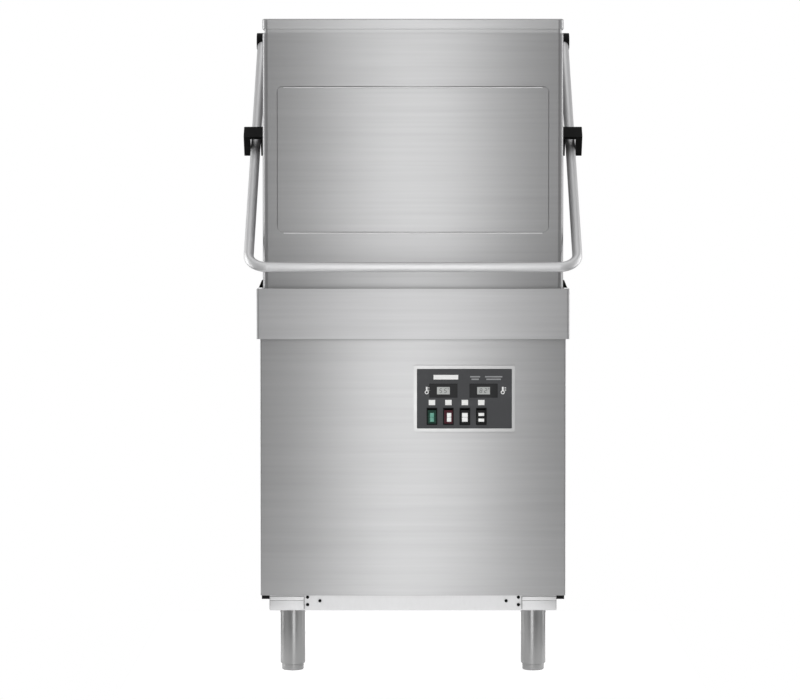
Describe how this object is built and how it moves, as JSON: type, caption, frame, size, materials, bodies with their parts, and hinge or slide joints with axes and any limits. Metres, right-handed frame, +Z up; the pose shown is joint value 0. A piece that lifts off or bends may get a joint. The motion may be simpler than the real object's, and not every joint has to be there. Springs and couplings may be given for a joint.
{
  "type": "commercial dishwasher",
  "caption": "Pass-through dishwasher with a lifting steel hood worked by a U-shaped handle, a square cabinet on round feet and a small switch panel.",
  "frame": {"origin": "centre of the bounding box, on the floor under the feet, with the hood closed", "axes": "+Z up, -Y towards the operator and the control panel, +X to the right as seen from the front"},
  "size_m": [0.768, 0.751, 1.434],
  "materials": {
    "panel_steel": "vertical-light satin, horizontal brush lines",
    "frame_steel": "plain rolled",
    "tube_steel": "polished",
    "black_plastic": "fine moulded texture",
    "white_plastic": "moulded",
    "grey_plastic": "moulded",
    "fascia_film": "printed film",
    "bezel_aluminium": "anodised",
    "display_film": "smoked window",
    "lamp_lens": "moulded lens",
    "rocker_green": "illuminated rocker",
    "rocker_red": "illuminated rocker",
    "rubber_black": "hose",
    "cast_grey": "painted",
    "brass_fitting": "machined",
    "spring_steel": "zinc plated"
  },
  "bodies": {
    "base": {"base_frame": "frame_steel", "foot_mounts": "frame_steel", "base_screws": "black_plastic", "front_panel": "panel_steel", "side_panels": "panel_steel", "rear_panel": "panel_steel", "panel_plugs": "black_plastic", "collar": "panel_steel", "hood_wedges": "black_plastic", "wash_tank": "frame_steel", "rack_guide": "frame_steel", "lower_hub": "frame_steel", "upper_manifold": "frame_steel", "tank_element": "spring_steel", "wash_pump_motor": "cast_grey", "wash_pump_volute": "grey_plastic", "hoses": "rubber_black", "wash_riser": "frame_steel", "boiler": "frame_steel", "dosing_pumps": "white_plastic", "inlet_valve": "brass_fitting", "drain_spigot": "grey_plastic", "cable_gland": "black_plastic", "rear_wall": "frame_steel", "rear_columns": "frame_steel", "spring_anchor": "frame_steel", "rear_cover": "panel_steel", "shaft_bearings": "grey_plastic", "springs": "spring_steel", "control_bezel": "bezel_aluminium", "control_fascia": "fascia_film", "switch_frames": "black_plastic", "display_windows": "display_film", "indicator_lamps": "lamp_lens", "control_box": "frame_steel"},
    "hood": {"hood_wrap": "panel_steel", "hood_lid": "panel_steel", "hood_guide_brackets": "frame_steel", "hood_shoes": "white_plastic", "hood_pivot_pins": "frame_steel"},
    "handle": {"handle_tube": "tube_steel", "lever_shaft": "tube_steel", "pivot_bosses": "black_plastic"},
    "saddle_left": {"saddle_left": "black_plastic"},
    "saddle_right": {"saddle_right": "black_plastic"},
    "lower_wash_arm": {"lower_wash_arm": "frame_steel"},
    "lower_rinse_arm": {"lower_rinse_arm": "frame_steel"},
    "upper_wash_arm": {"upper_wash_arm": "frame_steel"},
    "upper_rinse_arm": {"upper_rinse_arm": "frame_steel"},
    "rocker_1": {"rocker_1": "rocker_green"},
    "rocker_2": {"rocker_2": "rocker_red"},
    "rocker_3": {"rocker_3": "black_plastic"},
    "rocker_4": {"rocker_4": "black_plastic"},
    "foot_front_left": {"foot_front_left": "frame_steel"},
    "foot_front_right": {"foot_front_right": "frame_steel"},
    "foot_rear_left": {"foot_rear_left": "frame_steel"},
    "foot_rear_right": {"foot_rear_right": "frame_steel"},
    "standpipe": {"standpipe": "frame_steel"},
    "strainer": {"sump_strainer": "grey_plastic"},
    "filters": {"surface_filters": "frame_steel"}
  },
  "joints": [
    {"name": "hood_lift", "type": "slide", "parent": "base", "child": "hood", "axis": [0, 0, 1], "range_m": [0, 0.42]},
    {"name": "handle_swing", "type": "hinge", "parent": "base", "child": "handle", "pos_m": [0, 0.2975, 1.41], "axis": [-1, 0, 0], "range_deg": [0, 66.8], "deforming": ["springs"]},
    {"name": "saddle_left_pivot", "type": "hinge", "parent": "hood", "child": "saddle_left", "pos_m": [-0.338, -0.0245, 1.16662], "axis": [-1, 0, 0], "range_deg": [0, 66.8]},
    {"name": "saddle_right_pivot", "type": "hinge", "parent": "hood", "child": "saddle_right", "pos_m": [0.338, -0.0245, 1.16662], "axis": [-1, 0, 0], "range_deg": [0, 66.8]},
    {"name": "lower_wash_spin", "type": "hinge", "parent": "base", "child": "lower_wash_arm", "pos_m": [0, -0.0195, 0.773], "axis": [0, 0, 1], "continuous": true},
    {"name": "lower_rinse_spin", "type": "hinge", "parent": "base", "child": "lower_rinse_arm", "pos_m": [0, -0.0195, 0.809], "axis": [0, 0, 1], "continuous": true},
    {"name": "upper_wash_spin", "type": "hinge", "parent": "base", "child": "upper_wash_arm", "pos_m": [0, -0.0195, 1.301], "axis": [0, 0, 1], "continuous": true},
    {"name": "upper_rinse_spin", "type": "hinge", "parent": "base", "child": "upper_rinse_arm", "pos_m": [0, -0.0195, 1.267], "axis": [0, 0, 1], "continuous": true},
    {"name": "rocker_1_tilt", "type": "hinge", "parent": "base", "child": "rocker_1", "pos_m": [0.0415, -0.3115, 0.5654], "axis": [-1, 0, 0], "range_deg": [0, 14]},
    {"name": "rocker_2_tilt", "type": "hinge", "parent": "base", "child": "rocker_2", "pos_m": [0.0775, -0.3115, 0.5654], "axis": [-1, 0, 0], "range_deg": [0, 14]},
    {"name": "rocker_3_tilt", "type": "hinge", "parent": "base", "child": "rocker_3", "pos_m": [0.1135, -0.3115, 0.5654], "axis": [-1, 0, 0], "range_deg": [0, 14]},
    {"name": "rocker_4_tilt", "type": "hinge", "parent": "base", "child": "rocker_4", "pos_m": [0.1495, -0.3115, 0.5654], "axis": [-1, 0, 0], "range_deg": [0, 14]},
    {"name": "foot_front_left_screw", "type": "slide", "parent": "base", "child": "foot_front_left", "axis": [0, 0, -1], "range_m": [0, 0.035]},
    {"name": "foot_front_right_screw", "type": "slide", "parent": "base", "child": "foot_front_right", "axis": [0, 0, -1], "range_m": [0, 0.035]},
    {"name": "foot_rear_left_screw", "type": "slide", "parent": "base", "child": "foot_rear_left", "axis": [0, 0, -1], "range_m": [0, 0.035]},
    {"name": "foot_rear_right_screw", "type": "slide", "parent": "base", "child": "foot_rear_right", "axis": [0, 0, -1], "range_m": [0, 0.035]},
    {"name": "standpipe_lift", "type": "slide", "parent": "base", "child": "standpipe", "axis": [0, 0, 1], "range_m": [0, 0.1]},
    {"name": "strainer_lift", "type": "slide", "parent": "base", "child": "strainer", "axis": [0, 0, 1], "range_m": [0, 0.06]},
    {"name": "filters_lift", "type": "slide", "parent": "base", "child": "filters", "axis": [0, 0, 1], "range_m": [0, 0.04]}
  ],
  "couplings": [
    {"joint": "handle_swing", "follows": "hood_lift", "rad_per_m": 2.7738},
    {"joint": "saddle_left_pivot", "follows": "hood_lift", "rad_per_m": 2.7738},
    {"joint": "saddle_right_pivot", "follows": "hood_lift", "rad_per_m": 2.7738}
  ]
}
